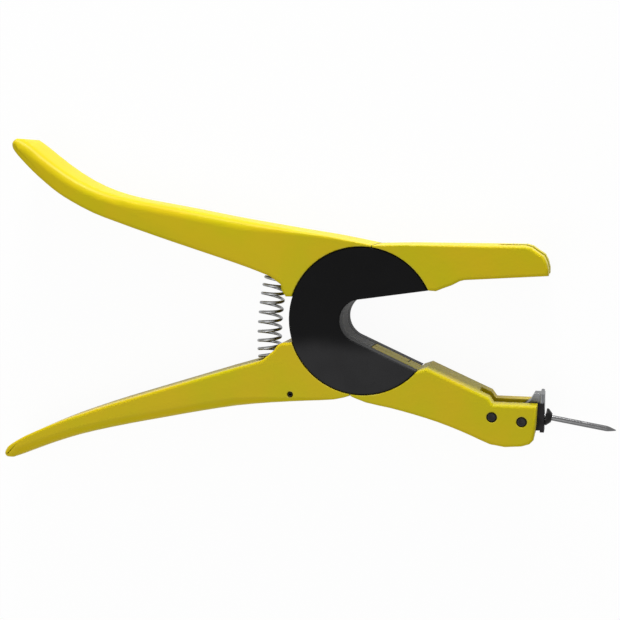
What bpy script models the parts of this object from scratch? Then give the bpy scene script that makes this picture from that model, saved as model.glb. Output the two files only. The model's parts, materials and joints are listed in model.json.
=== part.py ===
"""Ear tag applicator: two cast arms that cross in a C-shaped bearing, a spring between the
grips, an anvil jaw above and a needle that flips out of the jaw below.

Metres, +Z up. The tool lies on its side with its jaws towards +X. All outlines are drawn in the
plane of the tool, with the bearing's axis at x = 0, y = 0 and the middle of the tool's thickness
at z = 0. At the end the whole tool is moved so that the middle of its underside is the origin.
"""

import math

import bmesh
import bpy
from mathutils import Matrix, Vector

# Fits shared by all the pieces
fit_gap = 0.0003
merge_distance = 0.00001
overrun = 0.0060
chamfer = 0.0003

# Bearing
body_thickness = 0.0250
cheek_radius = 0.0325
cheek_thickness = 0.0060
cheek_round = 0.0007
throat_radius = 0.0095
hub_wall = 0.0030
lap_radius = 0.0270
rim_wall = 0.0008
mouth_top_angle = math.radians(8.5)
mouth_bottom_angle = math.radians(-24.0)
top_seam_angle = math.radians(81.7)
bottom_seam_angle = math.radians(262.0)
upper_knee_angle = math.radians(162.0)
lower_knee_angle = math.radians(198.0)
arc_step = math.radians(5.0)

# Grips, each outline in shares of its own reach and rise
upper_reach = 0.1650
upper_rise = 0.0810
lower_reach = 0.1730
lower_drop = 0.0700
palm_crown = 0.0045
crown_growth = 0.0350
crown_steps = 3
tip_round = 0.0024
edge_round = 0.0012
rim_round = 0.0004
upper_knee_share = [(0.23, 0.00), (0.366, 0.287), (0.396, 0.525), (0.75, 0.87)]
upper_inner_share = [
    (0.270, 0.249),
    (0.314, 0.281),
    (0.381, 0.325),
    (0.482, 0.388),
    (0.585, 0.454),
    (0.688, 0.523),
    (0.759, 0.575),
    (0.824, 0.640),
    (0.864, 0.689),
    (0.899, 0.743),
    (0.936, 0.807),
    (0.971, 0.877),
]
upper_tip_share = [(0.993, 0.921), (1.000, 0.951), (0.998, 0.978), (0.987, 0.995)]
upper_palm_share = [
    (0.973, 0.993),
    (0.942, 0.950),
    (0.876, 0.849),
    (0.804, 0.758),
    (0.732, 0.696),
    (0.660, 0.657),
    (0.589, 0.631),
    (0.484, 0.594),
    (0.379, 0.554),
    (0.276, 0.519),
    (0.175, 0.484),
    (0.075, 0.452),
]
lower_knee_share = [(0.145, 0.057), (0.348, 0.085), (0.486, 0.193), (0.594, 0.443)]
lower_inner_share = [
    (0.260, 0.270),
    (0.303, 0.303),
    (0.370, 0.353),
    (0.472, 0.434),
    (0.576, 0.517),
    (0.681, 0.600),
    (0.788, 0.693),
    (0.861, 0.763),
    (0.935, 0.844),
    (0.980, 0.909),
]
lower_tip_share = [(0.995, 0.941), (1.000, 0.974), (0.992, 0.999), (0.975, 0.999)]
lower_palm_share = [
    (0.951, 0.980),
    (0.880, 0.910),
    (0.809, 0.847),
    (0.739, 0.796),
    (0.636, 0.734),
    (0.534, 0.679),
    (0.434, 0.626),
    (0.336, 0.580),
    (0.239, 0.546),
    (0.144, 0.521),
    (0.069, 0.503),
]

# Anvil jaw, measured along its underside from where its flat face starts
anvil_jaw_reach = 0.0801
anvil_jaw_slope = math.radians(3.8)
anvil_face_start_share = 0.56
anvil_face_height = 0.0188
anvil_back_start = 0.0200
anvil_lip_share = [(0.22, -0.04), (0.434, 0.25), (0.658, 0.52), (0.88, 0.90)]
anvil_tip_share = [(1.0, 0.705), (0.99, 0.795), (0.974, 0.872), (0.941, 0.923), (0.908, 0.979)]
anvil_tip_end_share = 0.876
needle_slot_width = 0.0080
needle_slot_share = 0.514
anvil_pocket_width = 0.0186
anvil_pocket_share = 0.271
anvil_pocket_depth = 0.0050
anvil_tip_wall = 0.0020
anvil_plate_thickness = 0.0015
anvil_screw_inset = 0.0032
anvil_screw_spread = 0.0059
clip_pocket_depth = 0.0023
clip_pocket_start = 0.0007
clip_thickness = 0.0008
clip_play = 0.0005
clip_width = 0.0160
clip_prong_width = 0.0030
clip_base_share = 0.194
clip_reach_share = 0.742
small_screw_radius = 0.0013
small_head_radius = 0.0020
small_head_height = 0.0009
small_screw_length = 0.0065
socket_radius = 0.0011
socket_depth = 0.0006

# Needle jaw and its forked block, in shares of the jaw's reach and drop
needle_jaw_reach = 0.0765
needle_jaw_drop = 0.0526
jaw_bump_share = (0.14, -0.15)
block_step_share = [(0.730, 0.601), (0.757, 0.654)]
block_corner_share = [(0.993, 0.840), (0.984, 0.935), (0.962, 0.970), (0.918, 0.992), (0.825, 1.004)]
needle_jaw_belly_share = [
    (0.743, 0.987),
    (0.686, 0.954),
    (0.583, 0.892),
    (0.447, 0.823),
    (0.309, 0.768),
    (0.171, 0.722),
    (0.032, 0.683),
]
carrier_pin_share = (0.917, 0.787)
detent_pin_share = (0.751, 0.7586)
pin_radius = 0.0020
pin_inset = 0.0002
carrier_width = 0.0080
carrier_play = 0.0004

# Needle carrier, in the frame of its hinge pin
carrier_hub_radius = 0.0052
carrier_hub_room = 0.0014
carrier_plate_thickness = 0.0018
carrier_plate_top = 0.0115
carrier_plate_bottom = 0.0058
carrier_head_width = 0.0150
carrier_round = 0.0004
carrier_neck_share = [(0.66, 0.96), (0.40, 0.67)]
carrier_neck_angle = math.radians(100.0)
carrier_foot_share = 0.96
needle_angle = math.radians(-8.9)
needle_offset = 0.0020
needle_radius = 0.0012
needle_root = 0.0040
needle_reach = 0.0395
needle_point_length = 0.0040
collar_radius = 0.0037
collar_tip_radius = 0.0021
collar_foot = 0.0010
collar_length = 0.0028

# Detent leaf
leaf_thickness = 0.0007
leaf_width = 0.0060
leaf_room = 0.0030
leaf_eye_start = math.radians(-50.0)
leaf_eye_end = math.radians(250.0)
leaf_bend_angle = math.radians(213.0)
leaf_bend_share = 1.12
leaf_tip_angle = math.radians(234.0)

# Cheek screws
cheek_screw_radius = 0.0013
cheek_head_radius = 0.0022
cheek_head_rim = 0.0003
cheek_screw_bite = 0.0045
cheek_screw_angles = [math.radians(100), math.radians(146), math.radians(275), math.radians(304)]

# Return spring
spring_coil_radius = 0.0050
spring_wire_radius = 0.0007
spring_turns = 11
spring_points_per_turn = 9
spring_start_turn = 0.25
spring_pocket_depth = 0.0034
spring_pocket_play = 0.0006
spring_upper_seat_share = (0.247, 0.230)
spring_lower_seat_share = (0.2555, 0.270)
spring_upper_lean = math.radians(24.0)
spring_lower_lean = math.radians(12.0)
spring_bow = 0.0080

# Roll pin in the lower grip
roll_pin_radius = 0.0011
roll_pin_bore = 0.0006
roll_pin_share = (0.184, 0.481)

# Worked out from the sizes above
half = body_thickness / 2
lap_half = half - cheek_thickness - fit_gap
recess_radius = cheek_radius + fit_gap
rim_radius = recess_radius + rim_wall
hub_radius = throat_radius + hub_wall
bore_radius = hub_radius + fit_gap
lap_bore = lap_radius + fit_gap
seam_half_angle = math.asin(fit_gap / 2 / lap_radius)
screw_circle = (lap_bore + recess_radius) / 2
pin_hole_radius = pin_radius + fit_gap
carrier_pin_place = (carrier_pin_share[0] * needle_jaw_reach, -carrier_pin_share[1] * needle_jaw_drop)
detent_pin_place = (detent_pin_share[0] * needle_jaw_reach, -detent_pin_share[1] * needle_jaw_drop)
block_floor = -block_step_share[1][1] * needle_jaw_drop
plate_near = block_floor - carrier_pin_place[1] + fit_gap
plate_far = plate_near + carrier_plate_thickness
anvil_face_start = (anvil_face_start_share * anvil_jaw_reach, anvil_face_height)
anvil_jaw_length = (anvil_jaw_reach - anvil_face_start[0]) / math.cos(anvil_jaw_slope)
needle_slot_start = needle_slot_share * anvil_jaw_length
anvil_pocket_start = anvil_pocket_share * anvil_jaw_length
anvil_pocket_end = anvil_jaw_length - anvil_tip_wall
clip_base_length = clip_base_share * anvil_jaw_length
clip_reach = clip_reach_share * anvil_jaw_length

yellow = ("yellow_enamel", (0.50, 0.37, 0.012), 0.38, 0.0)
black = ("black_nylon", (0.012, 0.012, 0.013), 0.45, 0.0)
grey = ("grey_nylon", (0.10, 0.10, 0.10), 0.50, 0.0)
steel = ("bright_steel", (0.42, 0.43, 0.44), 0.32, 1.0)
dark_steel = ("dark_steel", (0.06, 0.06, 0.065), 0.40, 1.0)

for old in list(bpy.data.objects):
    bpy.data.objects.remove(old)

parts = bpy.data.collections.new("ear_tag_applicator")
cutters = bpy.data.collections.new("cutters")
bpy.context.scene.collection.children.link(parts)
bpy.context.scene.collection.children.link(cutters)


def material(finish):
    """A plain Principled finish: name, colour, roughness, metallic."""
    name, colour, roughness, metallic = finish
    found = bpy.data.materials.get(name)
    if found:
        return found
    made = bpy.data.materials.new(name)
    made.use_nodes = True
    shader = made.node_tree.nodes["Principled BSDF"]
    shader.inputs["Base Color"].default_value = (*colour, 1.0)
    shader.inputs["Roughness"].default_value = roughness
    shader.inputs["Metallic"].default_value = metallic
    return made


def pivot(name, place, parent=None, turn=0):
    """An empty that carries a group of pieces, on the axis that the group turns about."""
    empty = bpy.data.objects.new(name, None)
    parts.objects.link(empty)
    empty.empty_display_size = cheek_radius
    empty.parent = parent
    empty.location = (place[0], place[1], 0)
    empty.rotation_euler = (0, 0, turn)
    return empty


def finish_part(obj, finish, parent):
    """Put a finished object among the parts, under what carries it."""
    parts.objects.link(obj)
    obj.data.materials.clear()
    obj.data.materials.append(material(finish))
    obj.parent = parent
    obj.data.shade_smooth()
    obj.data.set_sharp_from_angle(angle=math.radians(35))
    return obj


def finish_cutter(obj, parent):
    """Put a cutting shape aside, hidden from the render."""
    cutters.objects.link(obj)
    obj.display_type = "WIRE"
    obj.hide_render = True
    obj.parent = parent
    return obj


def mesh_object(name, bm):
    """An object from a bmesh, with its faces pointing outwards."""
    bmesh.ops.recalc_face_normals(bm, faces=bm.faces)
    mesh = bpy.data.meshes.new(name)
    bm.to_mesh(mesh)
    bm.free()
    return bpy.data.objects.new(name, mesh)


def outline_solid(name, points, half_thickness):
    """A flat outline, filled and thickened both ways, with one face on each side."""
    curve = bpy.data.curves.new(name, "CURVE")
    curve.dimensions = "2D"
    curve.fill_mode = "BOTH"
    curve.extrude = half_thickness
    spline = curve.splines.new("POLY")
    spline.points.add(len(points) - 1)
    for point, place in zip(spline.points, points):
        point.co = (place[0], place[1], 0, 1)
    spline.use_cyclic_u = True
    drawn = bpy.data.objects.new(name + "_outline", curve)
    bpy.context.scene.collection.objects.link(drawn)
    graph = bpy.context.evaluated_depsgraph_get()
    mesh = bpy.data.meshes.new_from_object(drawn.evaluated_get(graph))
    bpy.data.objects.remove(drawn)
    bm = bmesh.new()
    bm.from_mesh(mesh)
    bpy.data.meshes.remove(mesh)
    bmesh.ops.remove_doubles(bm, verts=bm.verts, dist=merge_distance)
    bm.normal_update()
    inside_caps = [
        edge
        for edge in bm.edges
        if len(edge.link_faces) == 2 and all(abs(face.normal.z) > 0.9 for face in edge.link_faces)
    ]
    bmesh.ops.dissolve_edges(bm, edges=inside_caps, use_verts=False)
    return mesh_object(name, bm)


def box(name, low, high):
    """A box between two corners."""
    bm = bmesh.new()
    bmesh.ops.create_cube(bm, size=1)
    size = [b - a for a, b in zip(low, high)]
    middle = [(a + b) / 2 for a, b in zip(low, high)]
    bmesh.ops.scale(bm, vec=size, verts=bm.verts)
    bmesh.ops.translate(bm, vec=middle, verts=bm.verts)
    return mesh_object(name, bm)


def rod(name, radius, low, high, segments=24, at=(0, 0)):
    """A cylinder along Z between two heights."""
    bm = bmesh.new()
    bmesh.ops.create_cone(
        bm,
        cap_ends=True,
        segments=segments,
        radius1=radius,
        radius2=radius,
        depth=high - low,
    )
    bmesh.ops.translate(bm, vec=(at[0], at[1], (low + high) / 2), verts=bm.verts)
    return mesh_object(name, bm)


def turned(name, profile, steps=24, closed=False):
    """A profile of (radius, height) points turned about Z, written from the top down."""
    bm = bmesh.new()
    places = [bm.verts.new((radius, 0, height)) for radius, height in profile]
    for first, second in zip(places, places[1:]):
        bm.edges.new((first, second))
    if closed:
        bm.edges.new((places[-1], places[0]))
    mesh = bpy.data.meshes.new(name)
    bm.to_mesh(mesh)
    bm.free()
    obj = bpy.data.objects.new(name, mesh)
    screw = obj.modifiers.new("turn", "SCREW")
    screw.axis = "Z"
    screw.steps = steps
    screw.render_steps = steps
    screw.use_merge_vertices = True
    screw.merge_threshold = merge_distance
    return obj


def boolean(target, tool, operation="DIFFERENCE"):
    """An exact Boolean between two objects."""
    step = target.modifiers.new(tool.name, "BOOLEAN")
    step.operation = operation
    step.solver = "EXACT"
    step.object = tool


def aim(obj, place, direction):
    """Turn an object so that its Z axis looks along a direction in the tool's plane."""
    turn = Vector((*direction, 0)).to_track_quat("Z", "Y").to_matrix().to_4x4()
    obj.matrix_local = Matrix.Translation((*place, 0)) @ turn


def polar(radius, angle, centre=(0, 0)):
    """A point in the tool's plane from its radius and angle."""
    return (centre[0] + radius * math.cos(angle), centre[1] + radius * math.sin(angle))


def arc(radius, start, end, centre=(0, 0)):
    """Points along an arc, both ends included."""
    count = max(2, round(abs(end - start) / arc_step))
    return [polar(radius, start + (end - start) * i / count, centre) for i in range(count + 1)]


def spread(shares, reach, rise):
    """Points from their shares of two sizes."""
    return [(x * reach, y * rise) for x, y in shares]


def between(start, end, shares):
    """Points from their shares of the way from one point to another."""
    return [
        (start[0] + x * (end[0] - start[0]), start[1] + y * (end[1] - start[1])) for x, y in shares
    ]


def sized(points, crown):
    """Points, each with the size by which the rim rolls over there."""
    return [(x, y, crown) for x, y in points]


def smooth(points, steps=2):
    """A soft run through hand-set points, from the first to the last."""
    ends = [points[0]] + points + [points[-1]]
    run = []
    for before, start, end, after in zip(ends, ends[1:], ends[2:], ends[3:]):
        for i in range(steps):
            t = i / steps
            weights = (
                (2 * t * t - t - t * t * t) / 2,
                (2 - 5 * t * t + 3 * t * t * t) / 2,
                (t + 4 * t * t - 3 * t * t * t) / 2,
                (t * t * t - t * t) / 2,
            )
            around = zip(before, start, end, after)
            run.append(tuple(sum(w * v for w, v in zip(weights, values)) for values in around))
    return run + [points[-1]]


def ring_fade(points):
    """The crown of a palm edge grows with the distance from the bearing."""
    faded = []
    for x, y, crown in points:
        growth = max(math.hypot(x, y) - rim_radius, 0) / crown_growth
        faded.append((x, y, min(crown, rim_round + (palm_crown - rim_round) * growth)))
    return faded


def mouth_top_turn(radius):
    """The angle at which the mouth's upper edge, tangent to the throat, meets a radius."""
    return mouth_top_angle + math.asin(throat_radius / radius)


def mouth_bottom_turn(radius):
    """The same for the mouth's lower edge, counted on past the back of the bearing."""
    return mouth_bottom_angle - math.asin(throat_radius / radius) + math.tau


def bearing_c(radius):
    """A C from the throat out to a radius, open at the mouth."""
    outside = arc(radius, mouth_top_turn(radius), mouth_bottom_turn(radius))
    low = mouth_bottom_angle - math.pi / 2 + math.tau
    return outside + arc(throat_radius, low, mouth_top_angle + math.pi / 2)


def inward_runs(points):
    """For each outline point, the way into the outline that keeps even walls at a corner."""
    turns = zip(points, points[1:] + points[:1])
    side = 1 if sum(a[0] * b[1] - a[1] * b[0] for a, b in turns) > 0 else -1
    runs = []
    for before, point, after in zip(points[-1:] + points[:-1], points, points[1:] + points[:1]):
        first = Vector((before[1] - point[1], point[0] - before[0])).normalized()
        second = Vector((point[1] - after[1], after[0] - point[0])).normalized()
        runs.append(side * (first + second) / (1 + first.dot(second)))
    return runs


def crown_rims(obj, points):
    """Roll both rims of a flat solid over, each point by the size that it carries."""
    runs = inward_runs(points)
    bm = bmesh.new()
    bm.from_mesh(obj.data)
    bm.normal_update()
    for cap in [face for face in bm.faces if abs(face.normal.z) > 0.9]:
        face_height = cap.verts[0].co.z
        side = 1 if face_height > 0 else -1
        ring = list(cap.verts)
        nearest = []
        for vert in ring:
            gaps = [(x - vert.co.x) ** 2 + (y - vert.co.y) ** 2 for x, y, _ in points]
            nearest.append(gaps.index(min(gaps)))
        bmesh.ops.delete(bm, geom=[cap], context="FACES_ONLY")
        for vert, index in zip(ring, nearest):
            vert.co.z = face_height - side * points[index][2]
        for step in range(1, crown_steps + 1):
            turn = math.pi / 2 * step / crown_steps
            inner = []
            for index in nearest:
                x, y, crown = points[index]
                place = Vector((x, y)) + runs[index] * crown * (1 - math.cos(turn))
                drop = crown * (1 - math.sin(turn))
                inner.append(bm.verts.new((place.x, place.y, face_height - side * drop)))
            outer_pairs = zip(ring, ring[1:] + ring[:1])
            inner_pairs = zip(inner, inner[1:] + inner[:1])
            for (here, ahead), (inner_here, inner_ahead) in zip(outer_pairs, inner_pairs):
                bm.faces.new((here, ahead, inner_ahead, inner_here))
            ring = inner
        bm.faces.new(ring)
    bm.normal_update()
    rolled = [face for face in bm.faces if 0.01 < abs(face.normal.z) < 0.99]
    bmesh.ops.triangulate(bm, faces=rolled)
    bm.to_mesh(obj.data)
    bm.free()


def bevel_face(obj, side, size):
    """Bevel all the rim of one face of a flat solid."""
    bm = bmesh.new()
    bm.from_mesh(obj.data)
    layer = bm.edges.layers.float.new("bevel_weight_edge")
    for edge in bm.edges:
        if all(vert.co.z * side > 0 for vert in edge.verts):
            edge[layer] = 1
    bm.to_mesh(obj.data)
    bm.free()
    bevel = obj.modifiers.new("rim", "BEVEL")
    bevel.limit_method = "WEIGHT"
    bevel.width = size
    bevel.segments = 2


def strip(points, thickness):
    """The outline of a bent leaf of even thickness about its middle line."""
    sides = ([], [])
    ahead = points[1:] + [points[-1]]
    behind = [points[0]] + points[:-1]
    for point, before, after in zip(points, behind, ahead):
        run = Vector((after[0] - before[0], after[1] - before[1])).normalized()
        for side, sign in zip(sides, (1, -1)):
            reach = sign * thickness / 2
            side.append((point[0] - run.y * reach, point[1] + run.x * reach))
    return sides[0] + sides[1][::-1]


def screw_profile(radius, head, rim, low, high, play=0, mouth=0):
    """A countersunk screw, head down, or its bore: wider by the play, open by the mouth."""
    neck = low + rim + (head - radius)
    return [
        (0, high + play),
        (radius + play - chamfer, high + play),
        (radius + play, high + play - chamfer),
        (radius + play, neck + play),
        (head + play, low + rim + play),
        (head + play, low - mouth),
        (0, low - mouth),
    ]


# What carries everything, and the two groups that turn
root = pivot("tool", (0, 0))
anvil_group = pivot("anvil_arm_pivot", (0, 0), root)
jaw_frame = pivot("anvil_jaw_frame", anvil_face_start, anvil_group, anvil_jaw_slope)
carrier_group = pivot("carrier_pivot", carrier_pin_place, root)

# Round recesses for the cheeks, and the layer in which the other arm turns
front_recess = finish_cutter(rod("front_recess", recess_radius, lap_half, half + overrun, 72), root)
rear_recess = finish_cutter(rod("rear_recess", recess_radius, -half - overrun, -lap_half, 72), root)
rear_layer = finish_cutter(rod("rear_layer", lap_bore, -half - overrun, fit_gap / 2, 72), root)
front_layer = finish_cutter(rod("front_layer", lap_bore, -fit_gap / 2, half + overrun, 72), root)

# Where the mouth's edges meet the bore of both laps
bore_turns = (mouth_top_turn(bore_radius), mouth_bottom_turn(bore_radius))

# Needle arm: upper grip, front half of the lap, lower jaw with its forked block
mouth_corner = polar(cheek_radius, mouth_bottom_turn(cheek_radius))
block_step = spread(block_step_share, needle_jaw_reach, -needle_jaw_drop)
jaw_bump = between(mouth_corner, block_step[0], [jaw_bump_share])
jaw_belly = spread(needle_jaw_belly_share, needle_jaw_reach, -needle_jaw_drop)
jaw_seam_angle = bottom_seam_angle + seam_half_angle
seam_end = polar(rim_radius, jaw_seam_angle)
upper_knee = polar(cheek_radius, upper_knee_angle)
upper_inner = spread(upper_inner_share, -upper_reach, upper_rise)
upper_tip = spread(upper_tip_share, -upper_reach, upper_rise)
upper_palm = spread(upper_palm_share, -upper_reach, upper_rise)
upper_seam = polar(rim_radius, top_seam_angle + seam_half_angle)
needle_arm_points = (
    sized([polar(bore_radius, mouth_bottom_turn(bore_radius))], rim_round)
    + sized([mouth_corner] + jaw_bump + block_step, edge_round)
    + sized([(needle_jaw_reach, block_floor)], edge_round)
    + sized(spread(block_corner_share, needle_jaw_reach, -needle_jaw_drop), edge_round)
    + ring_fade(smooth(sized(jaw_belly + [seam_end], edge_round)))[:-1]
    + sized([seam_end] + arc(lap_radius, jaw_seam_angle, upper_knee_angle), rim_round)
    + sized([upper_knee] + between(upper_knee, upper_inner[0], upper_knee_share), edge_round)
    + smooth(sized(upper_inner, edge_round) + sized(upper_tip, tip_round))
    + ring_fade(smooth(sized(upper_palm + [upper_seam], palm_crown)))[:-1]
    + sized([upper_seam], rim_round)
    + sized(arc(lap_radius, top_seam_angle + seam_half_angle, mouth_top_turn(lap_radius)), rim_round)
    + sized(arc(bore_radius, *bore_turns)[:-1], rim_round)
)
needle_arm = outline_solid("needle_arm", [(x, y) for x, y, _ in needle_arm_points], half)
crown_rims(needle_arm, needle_arm_points)
finish_part(needle_arm, yellow, root)
boolean(needle_arm, front_recess)
boolean(needle_arm, rear_recess)
boolean(needle_arm, rear_layer)

# Anvil arm: lower grip, rear half of the lap, upper jaw
lip_corner = polar(cheek_radius, mouth_top_turn(cheek_radius))
face_rise = (anvil_jaw_reach - anvil_face_start[0]) * math.tan(anvil_jaw_slope)
face_end = (anvil_jaw_reach, anvil_face_start[1] + face_rise)
jaw_back = [(anvil_tip_end_share * anvil_jaw_reach, rim_radius), (anvil_back_start, rim_radius)]
back_seam = polar(rim_radius, top_seam_angle - seam_half_angle)
lower_knee = polar(cheek_radius, lower_knee_angle)
lower_inner = spread(lower_inner_share, -lower_reach, -lower_drop)
lower_tip = spread(lower_tip_share, -lower_reach, -lower_drop)
lower_palm = spread(lower_palm_share, -lower_reach, -lower_drop)
grip_seam_angle = bottom_seam_angle - seam_half_angle
lower_seam = polar(rim_radius, grip_seam_angle)
anvil_arm_points = (
    sized([polar(bore_radius, mouth_top_turn(bore_radius))], rim_round)
    + sized([lip_corner] + between(lip_corner, anvil_face_start, anvil_lip_share), edge_round)
    + sized([anvil_face_start, face_end], edge_round)
    + sized(spread(anvil_tip_share, anvil_jaw_reach, rim_radius), edge_round)
    + sized(jaw_back[:1], edge_round)
    + sized(jaw_back[1:], rim_round)
    + sized([back_seam] + arc(lap_radius, top_seam_angle - seam_half_angle, lower_knee_angle), rim_round)
    + sized([lower_knee] + between(lower_knee, lower_inner[0], lower_knee_share), edge_round)
    + smooth(sized(lower_inner, edge_round) + sized(lower_tip, tip_round))
    + ring_fade(smooth(sized(lower_palm + [lower_seam], palm_crown)))[:-1]
    + sized([lower_seam], rim_round)
    + sized(arc(lap_radius, grip_seam_angle, mouth_bottom_turn(lap_radius)), rim_round)
    + sized(arc(bore_radius, *bore_turns[::-1])[:-1], rim_round)
)
anvil_arm = outline_solid("anvil_arm", [(x, y) for x, y, _ in anvil_arm_points], half)
crown_rims(anvil_arm, anvil_arm_points)
finish_part(anvil_arm, yellow, anvil_group)
boolean(anvil_arm, front_recess)
boolean(anvil_arm, rear_recess)
boolean(anvil_arm, front_layer)

# Cheeks: C-shaped cover plates, flush with the arms, and the bush that lines the throat
front_cheek = outline_solid("front_cheek", bearing_c(cheek_radius), cheek_thickness / 2)
bevel_face(front_cheek, 1, cheek_round)
front_cheek.location.z = half - cheek_thickness / 2
finish_part(front_cheek, black, root)

rear_cheek = outline_solid("rear_cheek", bearing_c(cheek_radius), cheek_thickness / 2)
bevel_face(rear_cheek, -1, cheek_round)
rear_cheek.location.z = cheek_thickness / 2 - half
finish_part(rear_cheek, black, root)

throat_hub = outline_solid("throat_hub", bearing_c(hub_radius), lap_half)
finish_part(throat_hub, grey, root)

# Cheek screws: from the rear cheek through the needle arm into the front cheek
screw_low = fit_gap - half
screw_high = lap_half + fit_gap + cheek_screw_bite
for number, angle in enumerate(cheek_screw_angles, 1):
    place = polar(screw_circle, angle)
    size = (cheek_screw_radius, cheek_head_radius, cheek_head_rim)
    screw = turned(f"cheek_screw_{number}", screw_profile(*size, screw_low, screw_high))
    screw.location = (*place, 0)
    finish_part(screw, steel, root)
    socket = rod(f"cheek_socket_{number}", socket_radius, -half, screw_low + socket_depth, 6, place)
    boolean(screw, finish_cutter(socket, root))
    profile = screw_profile(*size, screw_low, screw_high, fit_gap, overrun)
    bore = turned(f"cheek_bore_{number}", profile)
    bore.location = (*place, 0)
    finish_cutter(bore, root)
    for bored in (rear_cheek, needle_arm, front_cheek):
        boolean(bored, bore)

# Fork slot in the needle jaw's block, and the two cross pins
leaf_eye_radius = pin_radius + fit_gap + leaf_thickness / 2
fork_start = detent_pin_place[0] - leaf_eye_radius - leaf_thickness / 2 - leaf_room
fork_floor = carrier_pin_place[1] - carrier_hub_radius - carrier_hub_room
fork_half = carrier_width / 2 + carrier_play
fork = box(
    "fork_slot",
    (fork_start, fork_floor, -fork_half),
    (needle_jaw_reach + overrun, overrun, fork_half),
)
boolean(needle_arm, finish_cutter(fork, root))
for name, place in (("carrier_pin", carrier_pin_place), ("detent_pin", detent_pin_place)):
    low = pin_inset - half
    profile = [
        (0, -low),
        (pin_radius - chamfer, -low),
        (pin_radius, -low - chamfer),
        (pin_radius, low + chamfer),
        (pin_radius - chamfer, low),
        (0, low),
    ]
    pin = turned(name, profile)
    pin.location = (*place, 0)
    finish_part(pin, dark_steel, root)
    hole = rod(name + "_hole", pin_hole_radius, -half - overrun, half + overrun, at=place)
    boolean(needle_arm, finish_cutter(hole, root))

# Detent leaf: rolled round the detent pin, its tongue under the carrier's hub
leaf_reach = carrier_hub_radius + fit_gap + leaf_thickness / 2
leaf_line = arc(leaf_eye_radius, leaf_eye_start, leaf_eye_end, detent_pin_place)
leaf_line.append(polar(leaf_bend_share * leaf_reach, leaf_bend_angle, carrier_pin_place))
leaf_line.append(polar(leaf_reach, leaf_tip_angle, carrier_pin_place))
detent_spring = outline_solid("detent_spring", strip(leaf_line, leaf_thickness), leaf_width / 2)
finish_part(detent_spring, steel, root)

# Needle carrier: a lever on its pin, as wide as the fork lets it, that ends in the plate behind the
# needle. Its head is wider, and swings over the block's corner to lie on the block's top.
neck = spread(carrier_neck_share, plate_near, carrier_plate_top)
foot = (plate_near, -carrier_foot_share * carrier_hub_radius)
plate_foot = [(plate_near, -carrier_plate_bottom), (plate_far, -carrier_plate_bottom)]
lever_points = (
    arc(carrier_hub_radius, carrier_neck_angle, math.radians(270))
    + [foot]
    + plate_foot
    + [(plate_far, neck[0][1])]
    + neck
)
needle_carrier = outline_solid("needle_carrier", lever_points, carrier_width / 2)
finish_part(needle_carrier, steel, carrier_group)
head = box(
    "carrier_head",
    (plate_near, plate_near, -carrier_head_width / 2),
    (plate_far - chamfer, carrier_plate_top, carrier_head_width / 2),
)
head_rounding = head.modifiers.new("rims", "BEVEL")
head_rounding.width = carrier_round
head_rounding.segments = 2
boolean(needle_carrier, finish_cutter(head, carrier_group), "UNION")
carrier_hole = rod("carrier_hole", pin_hole_radius, -carrier_width, carrier_width)
boolean(needle_carrier, finish_cutter(carrier_hole, carrier_group))

# Needle and its collar, on a line a little off square to the plate
needle_run = (math.cos(needle_angle), math.sin(needle_angle))
needle_foot = (-needle_run[1] * needle_offset, needle_run[0] * needle_offset)
needle_profile = [
    (0, needle_reach),
    (needle_radius, needle_reach - needle_point_length),
    (needle_radius, needle_root + chamfer),
    (needle_radius - chamfer, needle_root),
    (0, needle_root),
]
needle = turned("needle", needle_profile, 16)
aim(needle, needle_foot, needle_run)
finish_part(needle, steel, carrier_group)
needle_bore_radius = needle_radius + fit_gap
needle_bore = rod("needle_bore", needle_bore_radius, needle_root - fit_gap, needle_reach)
aim(needle_bore, needle_foot, needle_run)
boolean(needle_carrier, finish_cutter(needle_bore, carrier_group))

collar_base = (plate_far - needle_foot[0]) / needle_run[0]
collar_top = collar_base + collar_length
collar_back = collar_base - collar_foot
collar_profile = [
    (collar_tip_radius, collar_top),
    (collar_radius, collar_base + collar_foot),
    (collar_radius, collar_back),
    (needle_bore_radius, collar_back),
    (needle_bore_radius, collar_top),
]
needle_collar = turned("needle_collar", collar_profile, closed=True)
aim(needle_collar, needle_foot, needle_run)
finish_part(needle_collar, dark_steel, carrier_group)
collar_face = box(
    "collar_face",
    (0, -carrier_plate_top, -carrier_plate_top),
    (plate_far + fit_gap, carrier_plate_top, carrier_plate_top),
)
boolean(needle_collar, finish_cutter(collar_face, carrier_group))

# Needle slot through the anvil jaw, in the jaw's own frame
slot_half = needle_slot_width / 2
slot = box(
    "needle_slot",
    (needle_slot_start, -overrun, -slot_half),
    (anvil_jaw_length + overrun, rim_radius, slot_half),
)
boolean(anvil_arm, finish_cutter(slot, jaw_frame))
slot_end = rod("needle_slot_end", slot_half, -overrun, rim_radius)
slot_end.location.x = needle_slot_start
slot_end.rotation_euler.x = math.radians(-90)
boolean(anvil_arm, finish_cutter(slot_end, jaw_frame))

# Pockets in the anvil jaw's underside
pocket_half = anvil_pocket_width / 2
clip_pocket = box(
    "clip_pocket",
    (clip_pocket_start, -overrun, -pocket_half),
    (anvil_pocket_start + overrun, clip_pocket_depth, pocket_half),
)
boolean(anvil_arm, finish_cutter(clip_pocket, jaw_frame))
plate_pocket = box(
    "plate_pocket",
    (anvil_pocket_start, -overrun, -pocket_half),
    (anvil_pocket_end, anvil_pocket_depth, pocket_half),
)
boolean(anvil_arm, finish_cutter(plate_pocket, jaw_frame))

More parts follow.
